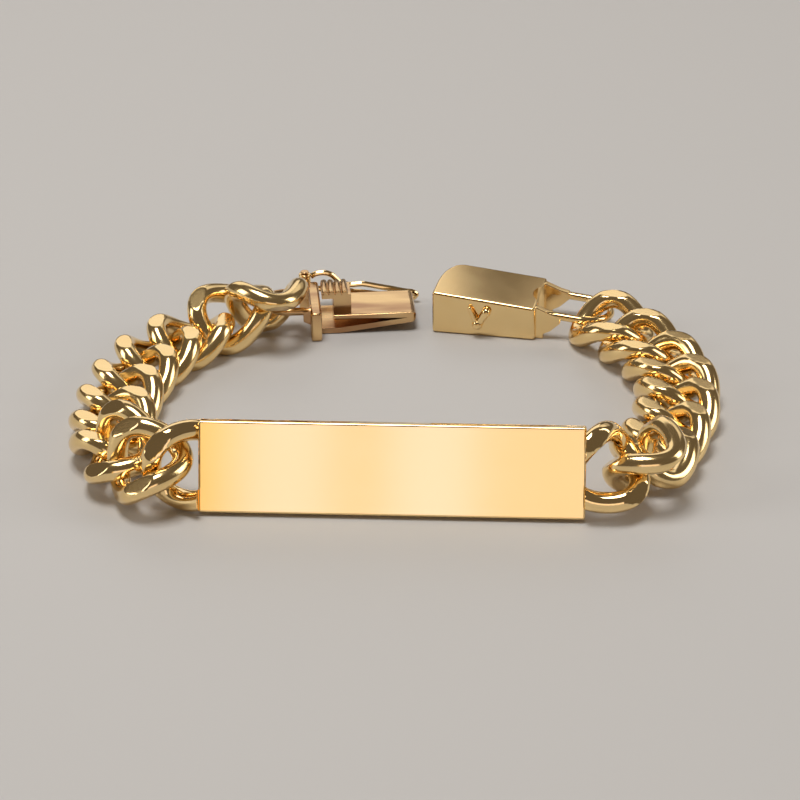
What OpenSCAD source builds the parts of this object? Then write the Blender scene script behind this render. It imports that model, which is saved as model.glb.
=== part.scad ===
// Curb-chain bracelet with an identity plate and an open box clasp, in millimetres.
// It lies on z = 0, and the origin is under the middle of the whole bracelet.

/* [Identity plate] */
// Length of the plate
plate_length = 48.5; // [46:0.1:48.5]
// Height of the plate across the wrist
plate_height = 11.7; // [11:0.1:12.5]
// Thickness of the plate
plate_thickness = 1.8; // [1.4:0.1:2.2]
// Lean of the plate back from upright, in degrees
plate_lean = 17.4; // [16:0.2:18]
// Rounding of the plate's long edges
plate_edge = 0.4; // [0.2:0.05:0.6]

/* [Chain links] */
// Half the length of a link, on the middle line of its wire
link_half_length = 4.95; // [4.9:0.05:5]
// Half the width of a link, on the middle line of its wire
link_half_width = 4.45; // [4.4:0.05:4.5]
// Rise and fall of the wire's middle line, the curb twist
link_twist = 1.75; // [1.7:0.05:1.8]
// Radius of the link's wire
wire_radius = 1.45; // [1.2:0.05:1.45]
// Thickness of a link between its ground flats
link_thickness = 5.2; // [5.2:0.1:6]

/* [Clasp box] */
// Length of the box from its mouth to its rear end
box_length = 14.5; // [14:0.1:15]
// Width of the box
box_width = 10.6; // [10.4:0.1:11]
// Height of the box at its mouth
box_mouth_height = 6.2; // [6:0.1:6.4]
// Height of the box at its rear end
box_rear_height = 4.8; // [4.6:0.1:5]
// Thickness of the box's sheet metal
box_wall = 0.5; // [0.4:0.05:0.6]

/* [Clasp tongue] */
// Thickness of the flange that the box's mouth meets
flange_thickness = 1.5; // [1.2:0.1:1.6]
// Height of the flange
flange_height = 4.3; // [4:0.1:4.5]
// Width of the folded spring tongue
tongue_width = 7.4; // [7:0.1:8]
// Reach of the tongue past the flange's outer face
tongue_reach = 14.8; // [14:0.1:15]
// Thickness of the tongue's two leaves
leaf_thickness = 0.8; // [0.6:0.05:0.85]
// Height of the thumb press above the table
press_height = 5.5; // [5.2:0.1:5.8]

/* [Safety latch] */
// Radius of the latch's wire
latch_wire = 0.4; // [0.3:0.05:0.45]
// Radius of the hinge pin
pin_radius = 0.4; // [0.35:0.01:0.42]
// Radial clearance between the hinge pin and its bore
pin_clearance = 0.06; // [0.03:0.01:0.08]

/* [Hidden] */
$fn = 48;
gold = "goldenrod";
polished_gold = "gold";
TINY = 0.01;

// The places below are measured from the point under the middle of the wrist space.
// This shift puts the origin under the middle of the bracelet's own box.
origin_shift = [0.4, 2.3, 0];

// Place of the plate's middle line, and the turn of its length
plate_place = [-1.1, -30.5];
plate_turn = -3.4;

// Each row lays one link down: x, y, height of its middle, heading away from
// the plate, rise of its far end and roll about its length, in millimetres and degrees
X = 0;
Y = 1;
HEIGHT = 2;
HEADING = 3;
RISE = 4;
ROLL = 5;
LEFT_LINKS = [
    [-32.3, -27.8, 5.5, 136, -2, -45],
    [-35.9, -22.7, 5.1, 112, 4, -44],
    [-37, -16.9, 3, 100, -3, 3],
    [-37.6, -10.3, 2.6, 92, 0, 0],
    [-37.1, -3.5, 2.6, 84, 0, 0],
    [-35.5, 3.1, 2.6, 72, 0, 0],
    [-32.8, 9.4, 2.6, 59, 0, 0],
    [-28.6, 14.7, 2.6, 43, 0, 0],
    [-23, 18.1, 4.7, 33, 16, 18],
    [-18.1, 18.7, 5.9, 61, -33, -28]
];
RIGHT_LINKS = [
    [30.7, -27.8, 5.8, 85, -18, 139],
    [32.3, -21.9, 3.2, 75, -9, 185],
    [34.4, -15.4, 2.6, 74, 0, 180],
    [36.2, -8.9, 2.6, 80, 0, 180],
    [36.8, -2.2, 2.6, 92, 0, 180],
    [35.7, 4.4, 2.6, 105, 0, 180],
    [33, 10.7, 2.7, 119, 2, 178],
    [29.3, 16.5, 2.7, 124, 2, 177]
];
// The two end rings have the links' form and are cut off at the plate's ends
LEFT_RING = [-26.3, -29.4, 6, 179, -10, -66];
RIGHT_RING = [25.5, -32.1, 6.8, 28, -19, 68];
// Depth that a ring's cut ends sink into the plate's solder
solder_depth = 0.2;

// Meshing of the links and of the latch's wire
LINK_STATIONS = 16;
WIRE_SIDES = 6;

// Clasp box: place of its near mouth corner, and its turn
box_place = [4.55, 20.77];
box_turn = -12;
// Rounding of the far side of the mouth, seen from above: along the box and
// across it
mouth_corner = [2.8, 6.6];
// Depth of the hollow behind the mouth
hollow_depth = 11.4;
// Round bay at the rear that the last link swings in
bay_radius = 3.4;
bay_middle = 16.8;
// Bail behind the box, from its rear end to the outside of its wire
box_bail_length = 9.8;
box_bail_spacing = 8;
box_bail_wire = 0.55;
box_bail_height = 3.5;
// Slope of the bail down to its round end, and down to its far side
box_bail_drop = 5.7;
box_bail_lean = -3.2;
// Side outline of the two cheeks that carry the box's bail: distance past
// the box's rear end and height
CHEEK_OUTLINE = [
    [-1.5, 0], [1, 0], [1, 0.7], [2, 1.2], [3.4, 2.5],
    [3.4, 3.5], [2.2, 3.8], [1.2, 4.2], [0, 4.7], [-1.5, 4.7]
];

// Clasp tongue: place of the middle of the flange's outer face, and its turn
tongue_place = [-12.6, 24];
tongue_turn = 4;
flange_near = -6.1;
flange_far = 4.7;
flange_round = 0.5;
// Bail on the flange's outer face
tongue_bail_length = 6.7;
tongue_bail_spacing = 8.3;
tongue_bail_wire = 0.55;
tongue_bail_height = 3.4;
// Slope of the bail down to its round end, and down to its far side
tongue_bail_drop = 0;
tongue_bail_lean = -6;
// Side outline of the two cheeks that carry the tongue's bail: distance
// outside the flange and height
TONGUE_CHEEK = [[-0.3, 1.8], [1, 2.4], [1, 3.9], [-0.3, 4.2]];
// Lower leaf: where it leaves the table, and its top at the tip
leaf_bend = 4.2;
leaf_base = 0.1;
tip_middle = 2.1;
tip_radius = 0.75;
tip_corner = 0.8;
// Upper leaf's free end, and the thumb press that rises from it
upper_leaf_start = 3.3;
upper_leaf_top = 2.85;
press_riser = 2.5;
press_start = 1.7;
press_length = 3.7;
press_width = 4.2;
press_thickness = 0.7;
RIDGES = 4;
ridge_radius = 0.44;

// Hinge of the safety latch, in the tongue's own frame
hinge_place = [-0.3, 5.7];
hinge_foot_height = 2.6;
barrel_radius = 0.85;
barrel_bottom = 2.7;
barrel_top = 5.05;
pin_head_radius = 0.6;
pin_head_bottom = 5.15;
pin_head_top = 5.4;
// The latch's two strands: distance from the hinge, height of the middle
// between them, and half of their spacing
ALONG = 0;
MIDDLE = 1;
HALF_GAP = 2;
LATCH_ROWS = [
    [0.9, 3.9, 0.7],
    [1.6, 3.9, 1.1],
    [2.8, 3.8, 1.3],
    [3.8, 3.6, 1.1],
    [5, 3, 0.5],
    [6.4, 2.6, 0.5],
    [8.2, 2.5, 0.65],
    [10.2, 2.1, 0.6],
    [12.2, 1.7, 0.55],
    [14, 1.3, 0.5],
    [15.2, 1.15, 0.45]
];
latch_tip = [15.7, 1.15];

// V-shaped catches on the box's sides, for the latch: distance from the
// mouth and height
catch_foot = [6.5, 2];
catch_foot_radius = 0.75;
catch_slim_tip = [5.4, 4.3];
catch_slim_radius = 0.28;
catch_broad_tip = [7.7, 3.9];
catch_broad_radius = 0.6;
catch_stand_off = 0.4;
// Radius of a prong's bead over the radius of the prong
bead = 1.15;

// Curb link

function unit(v) = v / norm(v);

function link_line(t) =
    [link_half_length * cos(t), link_half_width * sin(t), -link_twist * sin(2 * t)];

function link_run(t) =
    unit([-link_half_length * sin(t), link_half_width * cos(t), -2 * link_twist * cos(2 * t)]);

// A point of the wire's skin, ground off at the link's two flat sides
function ground(p) =
    [p.x, p.y, max(-link_thickness / 2, min(link_thickness / 2, p.z))];

function link_section(t) =
    let (run = link_run(t), out = unit(cross(run, [0, 0, 1])), up = cross(out, run))
    [for (k = [0 : WIRE_SIDES - 1])
        let (a = 360 * k / WIRE_SIDES)
        ground(link_line(t) + wire_radius * (cos(a) * out + sin(a) * up))];

// A closed tube whose skin runs through a ring of equal sections
module closed_tube(sections) {
    count = len(sections);
    sides = len(sections[0]);
    points = [for (section = sections) each section];
    faces = [
        for (i = [0 : count - 1], k = [0 : sides - 1])
            let (
                next = (i + 1) % count,
                a = i * sides + k,
                b = i * sides + (k + 1) % sides,
                c = next * sides + (k + 1) % sides,
                d = next * sides + k
            )
            each [[a, b, c], [a, c, d]]
    ];
    polyhedron(points, faces);
}

module link_body() {
    closed_tube([for (i = [0 : LINK_STATIONS - 1]) link_section(360 * i / LINK_STATIONS)]);
}

module laid_down(row) {
    translate([row[X], row[Y], row[HEIGHT]])
        rotate([row[ROLL], -row[RISE], row[HEADING]])
            children();
}

module on_table() {
    translate(origin_shift)
        children();
}

module chain_link(row) {
    color(gold)
        on_table()
            laid_down(row)
                link_body();
}

// Identity plate with its two soldered end rings

module rounded_rectangle(width, height, round) {
    square([width - 2 * round, height], center = true);
    square([width, height - 2 * round], center = true);
    for (x = [-1, 1], y = [-1, 1])
        translate([x * (width / 2 - round), y * (height / 2 - round)])
            circle(r = round);
}

module plate_frame() {
    lift = plate_height / 2 * cos(plate_lean) + plate_thickness / 2 * sin(plate_lean);
    translate([plate_place.x, plate_place.y, lift])
        rotate([-plate_lean, 0, plate_turn])
            children();
}

module plate_body() {
    rotate([90, 0, 90])
        linear_extrude(plate_length, center = true)
            rounded_rectangle(plate_thickness, plate_height, plate_edge);
}

// The space beyond one end of the plate, which keeps a ring's outer arc, and
// the thin layer of the plate's end that the arc's cut ends sink into
module beyond_end(side) {
    reach = 20;
    plate_frame() {
        translate([side * (plate_length + reach) / 2, 0, 0])
            cube(reach, center = true);
        translate([side * (plate_length - solder_depth) / 2, 0, 0])
            cube([solder_depth + TINY, plate_thickness - 2 * plate_edge, reach], center = true);
    }
}

module end_ring(row, side) {
    intersection() {
        laid_down(row)
            link_body();
        beyond_end(side);
    }
}

module plate() {
    color(polished_gold)
        on_table() {
            plate_frame()
                plate_body();
            end_ring(LEFT_RING, -1);
            end_ring(RIGHT_RING, 1);
        }
}

// Wire bail: two arms and a half circle, in the plane z = 0 and along +x
module bail(length, spacing, wire) {
    straight = length - spacing / 2;
    for (side = [-1, 1])
        translate([0, side * spacing / 2, 0])
            rotate([0, 90, 0])
                cylinder(h = straight + TINY, r = wire);
    translate([straight, 0, 0])
        rotate([0, 0, -90])
            rotate_extrude(angle = 180)
                translate([spacing / 2, 0])
                    circle(r = wire);
}

// A side outline in x and z, made solid from one depth to another
module side_plate(outline, from, to) {
    translate([0, to, 0])
        rotate([90, 0, 0])
            linear_extrude(to - from)
                polygon(outline);
}

// A straight prong with a beaded tip
module prong(from, to, radius) {
    run = to - from;
    translate(from)
        rotate([0, acos(run.z / norm(run)), atan2(run.y, run.x)])
            cylinder(h = norm(run), r = radius);
    translate(to)
        sphere(r = radius * bead);
}

// Clasp box with its bail and its two side catches

function box_top(x) =
    box_mouth_height + (box_rear_height - box_mouth_height) * x / box_length;

module box_plan() {
    difference() {
        square([box_length, box_width]);
        translate([-TINY, box_width - mouth_corner.y])
            square([mouth_corner.x + TINY, mouth_corner.y + TINY]);
    }
    translate([mouth_corner.x, box_width - mouth_corner.y])
        scale([mouth_corner.x, mouth_corner.y])
            circle(r = 1);
}

module box_shell() {
    intersection() {
        linear_extrude(box_mouth_height)
            box_plan();
        side_plate(
            [[0, 0], [box_length, 0], [box_length, box_top(box_length)], [0, box_top(0)]],
            0, box_width);
    }
}

module box_hollow() {
    ahead = 1;
    side_plate(
        [
            [-ahead, box_wall], [hollow_depth, box_wall],
            [hollow_depth, box_top(hollow_depth) - box_wall],
            [-ahead, box_top(-ahead) - box_wall]
        ],
        box_wall, box_width - box_wall - mouth_corner.x / 4);
}

module rear_bay() {
    translate([bay_middle, box_width / 2, -1])
        cylinder(h = box_mouth_height + 2, r = bay_radius);
}

module box_bail() {
    translate([box_length, box_width / 2, box_bail_height])
        rotate([box_bail_lean, box_bail_drop, 0])
            bail(box_bail_length, box_bail_spacing, box_bail_wire);
    for (side = [-1, 1]) {
        middle = box_width / 2 + side * box_bail_spacing / 2;
        translate([box_length, 0, 0])
            side_plate(CHEEK_OUTLINE, middle - box_bail_wire, middle + box_bail_wire);
    }
}

// One V-shaped catch on the near side, opening upwards
module side_catch() {
    foot = [catch_foot.x, -catch_stand_off, catch_foot.y];
    prong(foot, [catch_slim_tip.x, -catch_stand_off, catch_slim_tip.y], catch_slim_radius);
    prong(foot, [catch_broad_tip.x, -catch_stand_off, catch_broad_tip.y], catch_broad_radius);
    translate(foot)
        sphere(r = catch_foot_radius);
}

module clasp_box() {
    color(polished_gold)
        on_table()
            translate([box_place.x, box_place.y, 0])
                rotate([0, 0, box_turn]) {
                    difference() {
                        box_shell();
                        box_hollow();
                        rear_bay();
                    }
                    box_bail();
                    side_catch();
                    translate([0, box_width, 0])
                        mirror([0, 1, 0])
                            side_catch();
                }
}

// Clasp tongue: flange, bail, folded leaves and thumb press in one

module tongue_frame() {
    translate([tongue_place.x, tongue_place.y, 0])
        rotate([0, 0, tongue_turn])
            children();
}

module flange() {
    width = flange_far - flange_near;
    translate([0, (flange_far + flange_near) / 2, flange_height / 2])
        rotate([90, 0, 90])
            linear_extrude(flange_thickness)
                rounded_rectangle(width, flange_height, flange_round);
}

module tongue_bail() {
    translate([0, 0, tongue_bail_height])
        rotate([tongue_bail_lean, -tongue_bail_drop, 0])
            mirror([1, 0, 0])
                bail(tongue_bail_length, tongue_bail_spacing, tongue_bail_wire);
    for (side = [-1, 1])
        mirror([1, 0, 0])
            side_plate(
                TONGUE_CHEEK,
                side * tongue_bail_spacing / 2 - tongue_bail_wire,
                side * tongue_bail_spacing / 2 + tongue_bail_wire);
}

// The two leaves in one strip, folded back on itself at the tip
module leaves_outline() {
    tip_x = tongue_reach - tip_radius;
    start = flange_thickness / 2;
    polygon([
        [start, leaf_base], [leaf_bend, leaf_base], [tip_x, tip_middle - tip_radius],
        [tip_x, tip_middle], [leaf_bend, leaf_base + leaf_thickness],
        [start, leaf_base + leaf_thickness]
    ]);
    polygon([
        [upper_leaf_start, upper_leaf_top - leaf_thickness], [tip_x, tip_middle - TINY],
        [tip_x, upper_leaf_top], [upper_leaf_start, upper_leaf_top]
    ]);
    translate([tip_x, tip_middle])
        circle(r = tip_radius);
}

module leaves_plan() {
    length = 2 * tongue_reach;
    translate([0, 0, -1])
        linear_extrude(flange_height + 2)
            rounded_rectangle(length, tongue_width, tip_corner);
}

module leaves() {
    intersection() {
        translate([0, tongue_width / 2, 0])
            rotate([90, 0, 0])
                linear_extrude(tongue_width)
                    leaves_outline();
        leaves_plan();
    }
}

module thumb_press() {
    pad_top = press_height - ridge_radius / 2;
    translate([upper_leaf_start, -press_width / 2, upper_leaf_top - leaf_thickness / 2])
        cube([press_riser, press_width, pad_top - upper_leaf_top]);
    translate([press_start, -press_width / 2, pad_top - press_thickness])
        cube([press_length, press_width, press_thickness]);
    pitch = press_length / RIDGES;
    for (i = [0 : RIDGES - 1])
        translate([press_start + (i + 0.5) * pitch, press_width / 2, pad_top])
            rotate([90, 0, 0])
                cylinder(h = press_width, r = ridge_radius);
}

module hinge_foot() {
    foot_bottom = 0.2;
    foot = hinge_foot_height - foot_bottom;
    translate([hinge_place.x, hinge_place.y, foot_bottom])
        cylinder(h = foot, r = barrel_radius);
    translate([hinge_place.x - barrel_radius, flange_far - flange_round - TINY, foot_bottom])
        cube([2 * barrel_radius, hinge_place.y - flange_far + flange_round, foot]);
    translate([hinge_place.x, hinge_place.y, foot_bottom])
        cylinder(h = pin_head_top - foot_bottom, r = pin_radius);
    translate([hinge_place.x, hinge_place.y, pin_head_bottom])
        cylinder(h = pin_head_top - pin_head_bottom, r = pin_head_radius);
}

module clasp_tongue() {
    color(polished_gold)
        on_table()
            tongue_frame() {
                flange();
                tongue_bail();
                leaves();
                thumb_press();
                hinge_foot();
            }
}

// Safety latch: a figure-eight wire on a bored barrel

function latch_strand(side) =
    [for (row = LATCH_ROWS) [row[ALONG], row[MIDDLE] + side * row[HALF_GAP]]];

function backwards(list) = [for (i = [len(list) - 1 : -1 : 0]) list[i]];

function latch_section(before, here, after) =
    let (run = unit(after - before), out = [run.y, -run.x])
    [for (k = [0 : WIRE_SIDES - 1])
        let (a = 360 * k / WIRE_SIDES, p = here + latch_wire * cos(a) * out)
        [p.x, -latch_wire * sin(a), p.y]];

module latch_wire_loop() {
    line = [
        each latch_strand(-1),
        latch_tip,
        each backwards(latch_strand(1))
    ];
    count = len(line);
    closed_tube([
        for (i = [0 : count - 1])
            latch_section(line[(i + count - 1) % count], line[i], line[(i + 1) % count])
    ]);
}

module safety_latch() {
    color(gold)
        on_table()
            tongue_frame()
                translate([hinge_place.x, hinge_place.y, 0]) {
                    difference() {
                        translate([0, 0, barrel_bottom])
                            cylinder(h = barrel_top - barrel_bottom, r = barrel_radius);
                        translate([0, 0, barrel_bottom - 1])
                            cylinder(h = barrel_top - barrel_bottom + 2, r = pin_radius + pin_clearance);
                    }
                    latch_wire_loop();
                }
}

plate();
chain_link(LEFT_LINKS[0]);  // link_left_01
chain_link(LEFT_LINKS[1]);  // link_left_02
chain_link(LEFT_LINKS[2]);  // link_left_03
chain_link(LEFT_LINKS[3]);  // link_left_04
chain_link(LEFT_LINKS[4]);  // link_left_05
chain_link(LEFT_LINKS[5]);  // link_left_06
chain_link(LEFT_LINKS[6]);  // link_left_07
chain_link(LEFT_LINKS[7]);  // link_left_08
chain_link(LEFT_LINKS[8]);  // link_left_09
chain_link(LEFT_LINKS[9]);  // link_left_10
chain_link(RIGHT_LINKS[0]);  // link_right_01
chain_link(RIGHT_LINKS[1]);  // link_right_02
chain_link(RIGHT_LINKS[2]);  // link_right_03
chain_link(RIGHT_LINKS[3]);  // link_right_04
chain_link(RIGHT_LINKS[4]);  // link_right_05
chain_link(RIGHT_LINKS[5]);  // link_right_06
chain_link(RIGHT_LINKS[6]);  // link_right_07
chain_link(RIGHT_LINKS[7]);  // link_right_08
clasp_tongue();
safety_latch();
clasp_box();
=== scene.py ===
import math
import bmesh
import bpy
import numpy as np
from mathutils import Matrix, Vector


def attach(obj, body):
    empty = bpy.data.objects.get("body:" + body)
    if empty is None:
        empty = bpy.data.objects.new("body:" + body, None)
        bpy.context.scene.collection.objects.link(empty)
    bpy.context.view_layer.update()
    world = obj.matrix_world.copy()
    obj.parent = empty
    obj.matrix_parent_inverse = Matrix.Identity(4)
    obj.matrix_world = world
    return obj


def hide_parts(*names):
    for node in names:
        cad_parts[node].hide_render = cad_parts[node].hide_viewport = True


# Curb-chain bracelet with an identity plate and an open box clasp, on a pale table.
# Sizes are in millimetres and degrees, and mm turns them into Blender's metres.
mm = 0.001
mergeDistance = 0.0005

print("loading the packed bracelet")
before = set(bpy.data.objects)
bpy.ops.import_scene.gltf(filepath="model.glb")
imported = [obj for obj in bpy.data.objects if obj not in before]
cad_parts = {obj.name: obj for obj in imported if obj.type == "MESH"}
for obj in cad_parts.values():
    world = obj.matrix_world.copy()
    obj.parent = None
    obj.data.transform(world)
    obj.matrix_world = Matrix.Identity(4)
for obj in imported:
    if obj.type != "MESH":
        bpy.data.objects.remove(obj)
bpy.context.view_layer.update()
tableShift = Vector((0.4, 2.3, 0))  # from the middle of the wrist space to the bracelet's own origin


# Selection, edit mode and modifiers

def deselectAll():
    if bpy.context.mode != "OBJECT":
        bpy.ops.object.mode_set(mode="OBJECT")
    bpy.ops.object.select_all(action="DESELECT")


def workOn(*pieces):
    deselectAll()
    for piece in pieces:
        piece.select_set(True)
    bpy.context.view_layer.objects.active = pieces[0]
    return pieces[0]


def openMesh(piece, mode="FACE", action="DESELECT"):
    workOn(piece)
    bpy.ops.object.mode_set(mode="EDIT")
    bpy.ops.mesh.select_mode(type=mode)
    bpy.ops.mesh.select_all(action=action)


def closeMesh():
    bpy.ops.object.mode_set(mode="OBJECT")


def pickEdges(piece, test):  # test(one end, other end), both in millimetres
    mesh = bmesh.from_edit_mesh(piece.data)
    for edge in mesh.edges:
        edge.select_set(bool(test(edge.verts[0].co / mm, edge.verts[1].co / mm)))
    bmesh.update_edit_mesh(piece.data)


def finishWith(piece, kind, **settings):
    workOn(piece)
    modifier = piece.modifiers.new(kind.lower(), kind)
    for name, value in settings.items():
        setattr(modifier, name, value)
    bpy.ops.object.modifier_apply(modifier=modifier.name)
    return piece


def rounded(piece, width, segments, angle=None):  # all edges, or only those past an angle
    if angle is None:
        return finishWith(piece, "BEVEL", width=width * mm, segments=segments, limit_method="NONE")
    return finishWith(piece, "BEVEL", width=width * mm, segments=segments, limit_method="ANGLE",
                      angle_limit=math.radians(angle))


def setDown(piece, place):  # puts a piece's place into its mesh
    piece.matrix_world = place
    workOn(piece)
    bpy.ops.object.transform_apply(location=True, rotation=True, scale=True)
    return piece


def copyOf(piece, name):
    workOn(piece)
    bpy.ops.object.duplicate(linked=False)
    return renamed(name)


def renamed(name):
    piece = bpy.context.object
    piece.name = name
    return piece


def outwards(piece):  # merges doubles and turns all faces outwards
    openMesh(piece, action="SELECT")
    bpy.ops.mesh.remove_doubles(threshold=mergeDistance * mm)
    bpy.ops.mesh.normals_make_consistent(inside=False)
    closeMesh()
    return piece


def combined(piece, operation, others):
    for other in others:
        finishWith(piece, "BOOLEAN", object=other, operation=operation, solver="EXACT")
        bpy.data.objects.remove(other)
    return piece


def fused(piece, *others):  # welds overlapping metal into one skin
    return combined(piece, "UNION", others)


def cutAway(piece, *cutters):
    return combined(piece, "DIFFERENCE", cutters)


def turned(degrees, axis):
    return Matrix.Rotation(math.radians(degrees), 4, axis)


def onTable(x, y, height, turn):  # a place measured from the middle of the wrist space
    return Matrix.Translation((Vector((x, y, height)) + tableShift) * mm) @ turned(turn, "Z")


# Stock shapes that the pieces are made from

def block(name, low, high):  # a box between two corners
    low, high = Vector(low), Vector(high)
    bpy.ops.mesh.primitive_cube_add(size=1, location=(low + high) / 2 * mm)
    piece = renamed(name)
    piece.scale = (high - low) * mm
    bpy.ops.object.transform_apply(location=True, rotation=True, scale=True)
    return piece


def laidBetween(name, start, end):  # turns a new upright shape along its run
    turn = (end - start).to_track_quat("Z", "Y").to_matrix().to_4x4()
    return setDown(renamed(name), Matrix.Translation((start + end) / 2 * mm) @ turn)


def rod(name, start, end, radius, sides=48):  # a round bar between two points
    start, end = Vector(start), Vector(end)
    bpy.ops.mesh.primitive_cylinder_add(vertices=sides, radius=radius * mm, depth=(end - start).length * mm)
    return laidBetween(name, start, end)


def taper(name, start, end, startRadius, endRadius, sides=32):  # a cone between two points
    start, end = Vector(start), Vector(end)
    bpy.ops.mesh.primitive_cone_add(vertices=sides, radius1=startRadius * mm, radius2=endRadius * mm,
                                    depth=(end - start).length * mm)
    return laidBetween(name, start, end)


def bead(name, place, radius):
    bpy.ops.mesh.primitive_uv_sphere_add(segments=28, ring_count=16, radius=radius * mm)
    return setDown(renamed(name), Matrix.Translation(Vector(place) * mm))


def solidFrom(name, corners, sweep):  # a flat outline of corners, extruded along a sweep
    bpy.ops.mesh.primitive_circle_add(vertices=len(corners), radius=mm, fill_type="NGON")
    piece = renamed(name)
    for point, corner in zip(piece.data.vertices, corners):
        point.co = Vector(corner) * mm
    openMesh(piece, action="SELECT")
    bpy.ops.mesh.extrude_region_move(TRANSFORM_OT_translate={"value": [part * mm for part in sweep]})
    closeMesh()
    return outwards(piece)


def sideSolid(name, outline, near, far):  # an outline in x and z, solid from near to far in y
    return solidFrom(name, [(x, near, z) for x, z in outline], (0, far - near, 0))


def planSolid(name, outline, bottom, top):  # an outline in x and y, solid from bottom to top
    return solidFrom(name, [(x, y, bottom) for x, y in outline], (0, 0, top - bottom))


def wireAlong(name, line, radius, closed=False, sides=24):  # a round wire along a line
    bpy.ops.mesh.primitive_circle_add(vertices=len(line), radius=mm)
    piece = renamed(name)
    for point, place in zip(piece.data.vertices, line):
        point.co = Vector(place) * mm
    if not closed:  # takes away the edge from the last point to the first
        openMesh(piece, "EDGE")
        mesh = bmesh.from_edit_mesh(piece.data)
        for edge in mesh.edges:
            edge.select_set({point.index for point in edge.verts} == {0, len(line) - 1})
        bmesh.update_edit_mesh(piece.data)
        bpy.ops.mesh.delete(type="EDGE")
        closeMesh()
    workOn(piece)
    bpy.ops.object.convert(target="CURVE")
    curve = bpy.context.object.data
    curve.dimensions = "3D"
    curve.twist_mode = "MINIMUM"
    curve.bevel_depth = radius * mm
    curve.bevel_resolution = sides // 4 - 1
    curve.use_fill_caps = not closed
    bpy.ops.object.convert(target="MESH")
    return outwards(renamed(name))


def flowing(points, steps):  # an even, smooth line through a few points
    points = [Vector(point) for point in points]
    line = []
    for i in range(len(points) - 1):
        before, start = points[max(i - 1, 0)], points[i]
        end, after = points[i + 1], points[min(i + 2, len(points) - 1)]
        for step in range(steps):
            t = step / steps
            line.append(0.5 * (2 * start + (end - before) * t
                               + (2 * before - 5 * start + 4 * end - after) * t ** 2
                               + (3 * start - before - 3 * end + after) * t ** 3))
    return line + [points[-1]]


def dress(piece, finish, angle):
    piece.data.materials.clear()
    piece.data.materials.append(finish)
    workOn(piece)
    bpy.ops.object.shade_smooth_by_angle(angle=math.radians(angle))
    finishWith(piece, "WEIGHTED_NORMAL", weight=100, keep_sharp=True)  # the ground faces mirror flat
    return piece


# Curb link: one is modelled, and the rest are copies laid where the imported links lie

link = {
    "halfLength": 4.95,
    "halfWidth": 4.45,
    "twist": 1.75,
    "wire": 1.35,
    "thickness": 5.2,  # between the two ground flats
    "stations": 168,
    "sides": 56,
    "flatEdge": 0.09,  # how softly a flat meets the round wire
}


def linkLine(turn):
    return (link["halfLength"] * math.cos(turn),
            link["halfWidth"] * math.sin(turn),
            -link["twist"] * math.sin(2 * turn))


def modelLink():
    line = [linkLine(2 * math.pi * i / link["stations"]) for i in range(link["stations"])]
    piece = wireAlong("link", line, link["wire"], closed=True, sides=link["sides"])
    flat, soft = link["thickness"] / 2 * mm, link["flatEdge"] * mm
    for point in piece.data.vertices:  # grinds the wire flat above and below
        height = abs(point.co.z)
        if height > flat + soft:
            height = flat
        elif height > flat - soft:
            height -= (height - flat + soft) ** 2 / (4 * soft)
        point.co.z = math.copysign(height, point.co.z)
    return outwards(piece)


def linkPlace(node):  # a packed link's middle and its three axes, from the spread of its points
    points = np.unique(np.round([v.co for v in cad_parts[node].data.vertices], 7), axis=0)
    middle = points.mean(0)
    spread = (points - middle).T @ (points - middle)
    axes = np.linalg.eigh(spread)[1]
    along, across = Vector(axes[:, 2]), Vector(axes[:, 1])
    turn = Matrix((along, across, along.cross(across))).transposed().to_4x4()
    return Matrix.Translation(middle) @ turn


def layLinks(master, finish):
    names = sorted(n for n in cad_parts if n.startswith("link_"))
    for name in names:
        piece = setDown(copyOf(master, "curb_" + name), linkPlace(name))
        sunk = min(min(point.co.z for point in piece.data.vertices), 0)
        setDown(piece, Matrix.Translation((0, 0, -sunk)))  # none goes through the table
        dress(piece, finish, 40)
        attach(piece, "root")
        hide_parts(name)
    print("laid", len(names), "curb links")


# Identity plate with the two half rings soldered to its ends

plate = {
    "length": 48.5,
    "height": 11.7,
    "thickness": 1.8,
    "lean": 17.4,
    "place": (-1.1, -30.5),
    "turn": -3.4,
    "edge": 0.3,
    "solder": 0.03,  # how far a ring goes into the plate's end
    # x, y, height, heading, rise and roll of each end ring
    "leftRing": (-26.3, -29.4, 6, 179, -10, -66),
    "rightRing": (25.5, -32.1, 6.74, 28, -19, 68),
}


def plateFrame():
    lean = math.radians(plate["lean"])
    lift = plate["height"] / 2 * math.cos(lean) + plate["thickness"] / 2 * math.sin(lean)
    return onTable(*plate["place"], lift, plate["turn"]) @ turned(-plate["lean"], "X")


def modelRing(master, row, side):  # a link, cut off where the plate begins
    x, y, height, heading, rise, roll = row
    ring = setDown(copyOf(master, "end_ring"),
                   onTable(x, y, height, heading) @ turned(-rise, "Y") @ turned(roll, "X"))
    home = plateFrame()
    end = home @ Vector((side * (plate["length"] / 2 - plate["solder"]) * mm, 0, 0))
    openMesh(ring, action="SELECT")
    bpy.ops.mesh.bisect(plane_co=end, plane_no=home.to_3x3() @ Vector((side, 0, 0)),
                        use_fill=True, clear_inner=True, clear_outer=False)
    closeMesh()
    return outwards(ring)


def modelPlate(master, finish):
    half = Vector((plate["length"], plate["thickness"], plate["height"])) / 2
    slab = block("identity_plate", -half, half)
    rounded(slab, plate["edge"], 5)
    setDown(slab, plateFrame())
    fused(slab, modelRing(master, plate["leftRing"], -1), modelRing(master, plate["rightRing"], 1))
    dress(slab, finish, 30)
    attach(slab, "root")
    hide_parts("plate")
    print("modelled the identity plate")


# Clasp box, in its own frame: x from the mouth to the rear, y from the near side, z up

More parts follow.
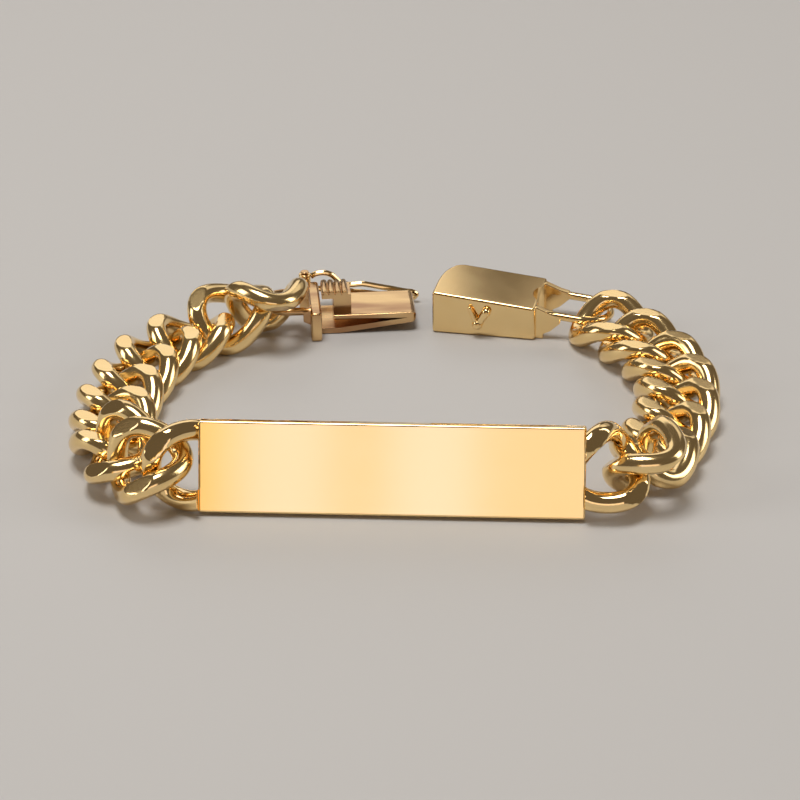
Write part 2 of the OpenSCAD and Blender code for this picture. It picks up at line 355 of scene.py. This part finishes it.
box = {
    "place": (4.55, 20.77),
    "turn": -12,
    "length": 14.5,
    "width": 10.6,
    "mouthHeight": 6.2,
    "rearHeight": 4.8,
    "wall": 0.5,
    "edge": 0.42,
    "mouthCorner": (2.8, 6.6),  # along the box, across it
    "cornerStep": 15,  # degrees
    "hollow": 11.4,  # how far it goes in from the mouth
    "farWall": 1.2,  # thicker than the others, because the mouth's corner is cut off there
    "bayMiddle": 16.8,
    "bay": 3.4,  # radius of the round bay in the rear end
    "bayCutter": (-1, 7),  # its bottom and top
    "bailLength": 9.8,
    "bailSpacing": 8,
    "bailWire": 0.55,
    "bailHeight": 3.5,
    "bailDrop": 5.7,
    "bailLean": -3.2,
    # side outline of a bail cheek: distance past the box's rear end, height
    "cheek": [(-1.5, 0), (1, 0), (1, 0.7), (2, 1.2), (3.4, 2.5),
              (3.4, 3.5), (2.2, 3.8), (1.2, 4.2), (0, 4.7), (-1.5, 4.7)],
    "cheekEdge": 0.15,
    # V-shaped catch on each side: distance from the mouth, height, radius
    "catchFoot": (6.5, 2, 0.75),
    "catchProngs": [(5.4, 4.3, 0.28), (7.7, 3.9, 0.6)],
    "catchStandOff": 0.4,
    "prongFoot": 0.7,  # a prong's lower end, as a share of the foot
    "prongBead": 1.08,  # the bead on it, as a share of its upper end
}


def modelBail(name, length, spacing, wire, steps=24):  # two arms and a half circle along +x
    straight, half = length - spacing / 2, spacing / 2
    turns = [math.pi * i / steps for i in range(steps + 1)]
    line = [(0, -half, 0), (straight / 2, -half, 0)]
    line += [(straight + half * math.sin(turn), -half * math.cos(turn), 0) for turn in turns]
    line += [(straight / 2, half, 0), (0, half, 0)]
    return wireAlong(name, line, wire)


def modelCatch(side):  # two prongs that open upwards from a round foot, at the wall at y = side
    footX, footZ, footRadius = box["catchFoot"]
    y = side + math.copysign(box["catchStandOff"], side - box["width"] / 2)
    foot = (footX, y, footZ)
    parts = [bead("catch_foot", foot, footRadius)]
    for x, z, radius in box["catchProngs"]:
        parts.append(taper("catch_prong", foot, (x, y, z), footRadius * box["prongFoot"], radius))
        parts.append(bead("catch_bead", (x, y, z), radius * box["prongBead"]))
    return fused(*parts)


def modelShell():
    length, width, wall, mouth = box["length"], box["width"], box["wall"], box["mouthHeight"]
    cornerX, cornerY = box["mouthCorner"]
    turns = [math.radians(a) for a in range(90, -1, -box["cornerStep"])]
    corner = [(cornerX - cornerX * math.cos(a), width - cornerY + cornerY * math.sin(a)) for a in turns]
    shell = planSolid("clasp_box_shell", [(0, 0), (length, 0), (length, width)] + corner, 0, mouth)
    slope = (box["rearHeight"] - mouth) / length
    openMesh(shell, action="SELECT")
    bpy.ops.mesh.bisect(plane_co=(0, 0, mouth * mm), plane_no=(-slope, 0, 1),
                        use_fill=True, clear_outer=True, clear_inner=False)
    closeMesh()
    rounded(outwards(shell), box["edge"], 4, 40)
    end, past = box["hollow"], -1  # the hollow reaches past the mouth
    outline = [(past, wall), (end, wall),
               (end, mouth + slope * end - wall), (past, mouth + slope * past - wall)]
    hollow = sideSolid("hollow", outline, wall, width - box["farWall"])
    bottom, top = box["bayCutter"]
    bay = rod("bay", (box["bayMiddle"], width / 2, bottom), (box["bayMiddle"], width / 2, top), box["bay"], 64)
    return cutAway(shell, hollow, bay)


def modelBox(finish):
    length, width, spacing, wire = box["length"], box["width"], box["bailSpacing"], box["bailWire"]
    shell = modelShell()
    bail = modelBail("box_bail", box["bailLength"], spacing, wire)
    setDown(bail, Matrix.Translation(Vector((length, width / 2, box["bailHeight"])) * mm)
            @ turned(box["bailDrop"], "Y") @ turned(box["bailLean"], "X"))
    parts = [bail, modelCatch(0), modelCatch(width)]
    for side in (-1, 1):
        middle = width / 2 + side * spacing / 2
        cheek = sideSolid("cheek", [(length + x, z) for x, z in box["cheek"]], middle - wire, middle + wire)
        parts.append(rounded(cheek, box["cheekEdge"], 3, 20))
    fused(shell, *parts)
    setDown(shell, onTable(*box["place"], 0, box["turn"]))
    dress(shell, finish, 30)
    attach(shell, "root")
    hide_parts("clasp_box")
    print("modelled the clasp box")


# Clasp tongue, in its own frame: x from the flange's outer face towards the tip, z up

tongue = {
    "place": (-12.6, 24),
    "turn": 4,
    "flangeThickness": 1.5,
    "flangeHeight": 4.3,
    "flangeNear": -6.1,
    "flangeFar": 4.7,
    "flangeEdge": 0.35,
    "bailLength": 6.7,
    "bailSpacing": 8.3,
    "bailWire": 0.55,
    "bailHeight": 3.4,
    "bailLean": -6,
    "cheek": [(-0.3, 1.8), (1, 2.4), (1, 3.9), (-0.3, 4.2)],  # outside the flange, height
    "cheekEdge": 0.12,
    "width": 7.4,
    "reach": 14.8,
    "leaf": 0.8,
    "leafBase": 0.1,
    "leafBend": 4.2,
    "leafEdge": 0.12,
    "leafRound": 0.28,  # the upper leaf's long edges
    "foldDepth": 0.97,  # share of the way to the tip where the two leaves meet
    "tipMiddle": 2.1,
    "tipRadius": 0.75,
    "tipSteps": 16,
    "tipCorner": 0.8,
    "upperStart": 3.3,
    "upperTop": 2.85,
    "riser": 2.5,
    "riserGap": 0.1,  # how far the riser stops below the pad's top
    "pressStart": 1.7,
    "pressLength": 3.7,
    "pressWidth": 4.2,
    "pressThickness": 0.7,
    "pressHeight": 5.5,
    "pressEdge": 0.08,
    "ridges": 4,
    "ridge": 0.44,
}
hinge = {
    "place": (-0.3, 5.7),
    "footBottom": 0.2,
    "footTop": 2.6,
    "lugOverlap": 0.6,  # how far the lug goes into the flange
    "barrel": 0.85,
    "barrelBottom": 2.7,
    "barrelTop": 5.05,
    "barrelEdge": 0.12,
    "pin": 0.4,
    "clearance": 0.06,
    "head": 0.6,
    "headBottom": 5.15,
    "headTop": 5.4,
    "headEdge": 0.1,
}


def tongueFrame():
    return onTable(*tongue["place"], 0, tongue["turn"])


def modelLeaves():
    tipRadius, steps, half = tongue["tipRadius"], tongue["tipSteps"], tongue["width"] / 2
    tipX = tongue["reach"] - tipRadius
    start, bend, leaf = tongue["flangeThickness"] / 2, tongue["leafBend"], tongue["leaf"]
    low, tip, top = tongue["leafBase"], tongue["tipMiddle"], tongue["upperTop"]
    join = bend + (tipX - bend) * tongue["foldDepth"]
    outline = [(start, low), (bend, low)]
    turns = [math.pi * i / steps for i in range(steps + 1)]
    outline += [(tipX + tipRadius * math.sin(turn), tip - tipRadius * math.cos(turn)) for turn in turns]
    outline += [(tongue["upperStart"], top), (tongue["upperStart"], top - leaf), (join, top - leaf)]
    outline += [(bend, low + leaf), (start, low + leaf)]
    leaves = sideSolid("leaves", outline, -half, half)
    openMesh(leaves, "EDGE")
    pickEdges(leaves, lambda a, b: abs(a.x - b.x) > 3 and min(a.z, b.z) > low + leaf + 0.1)
    bpy.ops.mesh.bevel(offset=tongue["leafRound"] * mm, segments=4, profile=0.5, affect="EDGES")
    closeMesh()
    reach, below, above = tongue["reach"], -1, 6
    plan = block("plan", (-reach, -half, below), (reach, half, above))  # rounds the tip, seen from above
    openMesh(plan, "EDGE")
    pickEdges(plan, lambda a, b: min(a.x, b.x) > reach - 0.01 and abs(a.z - b.z) > 1)
    bpy.ops.mesh.bevel(offset=tongue["tipCorner"] * mm, segments=8, profile=0.5, affect="EDGES")
    closeMesh()
    return rounded(combined(leaves, "INTERSECT", [plan]), tongue["leafEdge"], 3, 50)


def modelPress():
    half, start, length = tongue["pressWidth"] / 2, tongue["pressStart"], tongue["pressLength"]
    riserStart, padTop = tongue["upperStart"], tongue["pressHeight"] - tongue["ridge"] / 2
    riser = block("riser", (riserStart, -half, tongue["upperTop"] - tongue["leaf"] / 2),
                  (riserStart + tongue["riser"], half, padTop - tongue["riserGap"]))
    pad = block("pad", (start, -half, padTop - tongue["pressThickness"]), (start + length, half, padTop))
    parts = [riser, pad]
    for i in range(tongue["ridges"]):
        x = start + (i + 0.5) * (length / tongue["ridges"])
        parts.append(rod("ridge", (x, -half, padTop), (x, half, padTop), tongue["ridge"], 32))
    return [rounded(part, tongue["pressEdge"], 2, 50) for part in parts]


def modelHingeFoot():
    x, y = hinge["place"]
    radius, bottom, top = hinge["barrel"], hinge["footBottom"], hinge["footTop"]
    foot = rod("hinge_foot", (x, y, bottom), (x, y, top), radius)
    lug = block("lug", (x - radius, tongue["flangeFar"] - hinge["lugOverlap"], bottom), (x + radius, y, top))
    pin = rod("pin", (x, y, bottom), (x, y, hinge["headTop"]), hinge["pin"], 32)
    head = rod("head", (x, y, hinge["headBottom"]), (x, y, hinge["headTop"]), hinge["head"], 32)
    return [foot, lug, pin, rounded(head, hinge["headEdge"], 3, 50)]


def modelTongue(finish):
    flange = block("clasp_tongue_metal", (0, tongue["flangeNear"], 0),
                   (tongue["flangeThickness"], tongue["flangeFar"], tongue["flangeHeight"]))
    rounded(flange, tongue["flangeEdge"], 4)
    spacing, wire = tongue["bailSpacing"], tongue["bailWire"]
    bail = modelBail("tongue_bail", tongue["bailLength"], spacing, wire)
    setDown(bail, Matrix.Translation((0, 0, tongue["bailHeight"] * mm))
            @ turned(tongue["bailLean"], "X") @ turned(180, "Z"))
    parts = [bail, modelLeaves(), *modelPress(), *modelHingeFoot()]
    for side in (-1, 1):
        middle = side * spacing / 2
        cheek = sideSolid("cheek", [(-x, z) for x, z in tongue["cheek"]], middle - wire, middle + wire)
        parts.append(rounded(cheek, tongue["cheekEdge"], 2))
    fused(flange, *parts)
    setDown(flange, tongueFrame())
    dress(flange, finish, 30)
    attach(flange, "root")
    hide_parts("clasp_tongue")
    print("modelled the clasp tongue")


# Safety latch: a figure-eight wire on a bored barrel, which turns on the tongue's pin

latch = {
    "wire": 0.4,
    "wireSides": 16,
    "ball": 0.44,
    # distance from the hinge, height of the middle between the strands, half their spacing
    "rows": [(0.9, 3.9, 0.7), (1.6, 3.9, 1.1), (2.8, 3.8, 1.3), (3.8, 3.6, 1.1), (5, 3, 0.5), (6.4, 2.6, 0.5),
             (8.2, 2.5, 0.65), (10.2, 2.1, 0.6), (12.2, 1.7, 0.55), (14, 1.3, 0.5), (15.2, 1.15, 0.45)],
    "rowSteps": 6,
    "tip": (15.7, 1.15),
    "tipSpread": (0.02, 0.1),  # each strand ends this far along and up from the ball's middle
    "side": -0.1,  # the strands stand a little to the near side of the hinge
}


def modelLatch(finish):
    side = latch["side"]
    tip = Vector((latch["tip"][0], side, latch["tip"][1]))
    strands = []
    for way in (-1, 1):
        line = [(along, side, middle + way * half) for along, middle, half in latch["rows"]]
        line.append(tip + Vector((way * latch["tipSpread"][0], 0, way * latch["tipSpread"][1])))
        strands.append(wireAlong("latch_strand", flowing(line, latch["rowSteps"]), latch["wire"],
                                 sides=latch["wireSides"]))
    ball = bead("latch_ball", tip, latch["ball"])
    bottom, top = hinge["barrelBottom"], hinge["barrelTop"]
    barrel = rod("safety_latch_wire", (0, 0, bottom), (0, 0, top), hinge["barrel"])
    rounded(barrel, hinge["barrelEdge"], 3, 50)
    fused(barrel, *strands, ball)
    cutAway(barrel, rod("bore", (0, 0, bottom - 1), (0, 0, top + 1), hinge["pin"] + hinge["clearance"], 32))
    setDown(barrel, tongueFrame() @ Matrix.Translation(Vector((*hinge["place"], 0)) * mm))
    dress(barrel, finish, 30)
    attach(barrel, "latch")
    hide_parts("safety_latch")
    print("modelled the safety latch")


# Finishes: sums on sockets are written as Python expressions

class Flow:
    def __init__(self, finish, socket):
        self.finish, self.socket = finish, socket

    def maths(self, operation, *values):
        return self.finish.node("ShaderNodeMath", {"operation": operation}, values)

    def __add__(self, other):
        return self.maths("ADD", self, other)

    def __sub__(self, other):
        return self.maths("SUBTRACT", self, other)

    def __rsub__(self, other):
        return self.maths("SUBTRACT", other, self)

    def __mul__(self, other):
        return self.maths("MULTIPLY", self, other)

    __radd__ = __add__
    __rmul__ = __mul__


class Finish:
    def __init__(self, name):
        self.material = bpy.data.materials.new(name)
        self.material.use_nodes = True
        self.tree = self.material.node_tree
        self.shader = self.tree.nodes["Principled BSDF"]

    def node(self, kind, settings=None, values=(), output=0):
        made = self.tree.nodes.new(kind)
        for name, value in (settings or {}).items():
            setattr(made, name, value)
        pairs = values.items() if isinstance(values, dict) else enumerate(values)
        for socket, value in pairs:
            self.feed(made.inputs[socket], value)
        return Flow(self, made.outputs[output])

    def feed(self, socket, value):
        if isinstance(value, Flow):
            self.tree.links.new(value.socket, socket)
        else:
            socket.default_value = value


# Two tones of gold, how strongly they differ, roughness and its spread, and a faint waviness
gold = {
    "chain": {"colour": (1.0, 0.76, 0.39, 1), "deep": (0.95, 0.68, 0.30, 1),
              "contrast": 1, "gloss": 0.15, "spread": 0.04, "wave": 0.004},
    "plate": {"colour": (1.0, 0.745, 0.37, 1), "deep": (0.99, 0.73, 0.35, 1),
              "contrast": 1, "gloss": 0.07, "spread": 0.01, "wave": 0},
    "clasp": {"colour": (0.98, 0.74, 0.38, 1), "deep": (0.90, 0.63, 0.28, 1),
              "contrast": 1, "gloss": 0.11, "spread": 0.05, "wave": 0.006},
    "tongue": {"colour": (0.88, 0.61, 0.30, 1), "deep": (0.46, 0.26, 0.13, 1),
               "contrast": 3.2, "gloss": 0.2, "spread": 0.1, "wave": 0.01,
               "stretch": (0.35, 1.6, 1)},  # brushed along the leaves
}
polish = {
    "cloudScale": 220,
    "grainScale": 2600,
    "grainGloss": 0.02,
    "grainHeight": 0.3,
    "waveDepth": 0.0002,
}


def goldFinish(kind):
    look = gold[kind]
    finish = Finish(kind + "_gold")
    place = finish.node("ShaderNodeTexCoord", output=3)  # object coordinates
    if "stretch" in look:
        place = finish.node("ShaderNodeMapping", {}, {"Vector": place, "Scale": look["stretch"]})
    cloud = finish.node("ShaderNodeTexNoise", {}, {"Vector": place, "Scale": polish["cloudScale"],
                                                   "Detail": 2, "Roughness": 0.5})
    grain = finish.node("ShaderNodeTexNoise", {}, {"Vector": place, "Scale": polish["grainScale"],
                                                   "Detail": 3, "Roughness": 0.6})
    # sockets 0, 6 and 7 are a colour mix's factor and its two colours, and output 2 is the colour
    amount = (cloud - 0.5) * look["contrast"] + 0.5
    tone = finish.node("ShaderNodeMix", {"data_type": "RGBA"},
                       {0: amount, 6: look["deep"], 7: look["colour"]}, output=2)
    roughness = cloud * look["spread"] + grain * polish["grainGloss"] + (look["gloss"] - look["spread"] / 2)
    finish.feed(finish.shader.inputs["Base Color"], tone)
    finish.feed(finish.shader.inputs["Metallic"], 1.0)
    finish.feed(finish.shader.inputs["Roughness"], roughness)
    if look["wave"]:
        bump = finish.node("ShaderNodeBump", {}, {"Strength": look["wave"], "Distance": polish["waveDepth"],
                                                  "Height": cloud + grain * polish["grainHeight"]})
        finish.feed(finish.shader.inputs["Normal"], bump)
    return finish.material


# Table, lights and camera

studio = {
    "tableColour": (0.62, 0.61, 0.60, 1),
    "tableRoughness": 0.55,
    "tableSize": 6000,
    "tableDrop": 0.02,  # so that the table and what lies on it don't share a face
    "skyColour": (0.12, 0.1, 0.08, 1),
    # name, place in mm, size in mm, brightness seen in a mirror, colour
    "lights": [
        ("back_softbox", (-197, 700, 420), (616, 480), 0.9, (1, 0.96, 0.92)),
        ("back_fill", (370, 700, 420), (400, 480), 0.3, (1, 0.95, 0.9)),
        ("back_high_fill", (330, 700, 540), (500, 300), 0.4, (1, 0.95, 0.9)),
        ("front_card", (199, -1500, 190), (976, 520), 1, (1, 0.84, 0.79)),
        ("front_edge", (-322, -1500, 190), (100, 520), 0.95, (1, 0.7, 0.28)),
        ("front_band", (-229, -1480, 190), (46, 520), 0.55, (0.12, 0.33, 1)),
        ("front_band_right", (-144, -1480, 190), (46, 520), 0.6, (0.12, 0.33, 1)),
        ("top_softbox", (-100, -50, 900), (420, 300), 11, (1, 0.98, 0.95)),
        ("left_strip", (-800, -150, 360), (300, 560), 3, (1, 0.97, 0.93)),
        ("right_strip", (800, 0, 360), (300, 560), 3, (1, 0.97, 0.93)),
    ],
    "aim": (0.4, 2.3, 0),
    "eye": (0.4, -398.7, 204.3),
    "lens": 151.2,
    "sensor": 36,
    "clip": (0.01, 20),  # metres
    "roll": -0.51,
}


def lookingAt(eye, target):
    return (Vector(target) - Vector(eye)).to_track_quat("-Z", "Y").to_matrix().to_4x4()


def setTable():
    bpy.ops.mesh.primitive_plane_add(size=studio["tableSize"] * mm, location=(0, 0, -studio["tableDrop"] * mm))
    table = renamed("table_top")
    bpy.ops.object.transform_apply(location=True, rotation=True, scale=True)
    finish = Finish("pale_table")
    finish.feed(finish.shader.inputs["Base Color"], studio["tableColour"])
    finish.feed(finish.shader.inputs["Roughness"], studio["tableRoughness"])
    table.data.materials.append(finish.material)


def setLights():
    scene = bpy.context.scene
    scene.world = bpy.data.worlds.new("soft_room")
    scene.world.use_nodes = True
    scene.world.node_tree.nodes["Background"].inputs["Color"].default_value = studio["skyColour"]
    for name, place, (width, height), glow, colour in studio["lights"]:
        bpy.ops.object.light_add(type="AREA", location=Vector(place) * mm)
        lamp = renamed(name)
        lamp.data.shape = "RECTANGLE"
        lamp.data.size, lamp.data.size_y = width * mm, height * mm
        lamp.data.energy = glow * math.pi * lamp.data.size * lamp.data.size_y
        lamp.data.color = colour
        lamp.matrix_world = Matrix.Translation(lamp.location) @ lookingAt(lamp.location, (0, 0, 0))


def setCamera():
    place = Vector(studio["eye"]) * mm
    bpy.ops.object.camera_add(location=place)
    camera = renamed("camera")
    camera.data.lens = studio["lens"]
    camera.data.sensor_width = studio["sensor"]
    camera.data.clip_start, camera.data.clip_end = studio["clip"]
    camera.matrix_world = (Matrix.Translation(place)
                           @ lookingAt(studio["eye"], studio["aim"]) @ turned(studio["roll"], "Z"))
    bpy.context.scene.camera = camera


deselectAll()
setTable()
setLights()
setCamera()
bpy.context.scene.view_settings.view_transform = "Standard"
chainGold, plateGold, claspGold = goldFinish("chain"), goldFinish("plate"), goldFinish("clasp")
masterLink = modelLink()
layLinks(masterLink, chainGold)
modelPlate(masterLink, plateGold)
bpy.data.objects.remove(masterLink)
modelBox(claspGold)
modelTongue(goldFinish("tongue"))
modelLatch(claspGold)

print("bracelet finished")
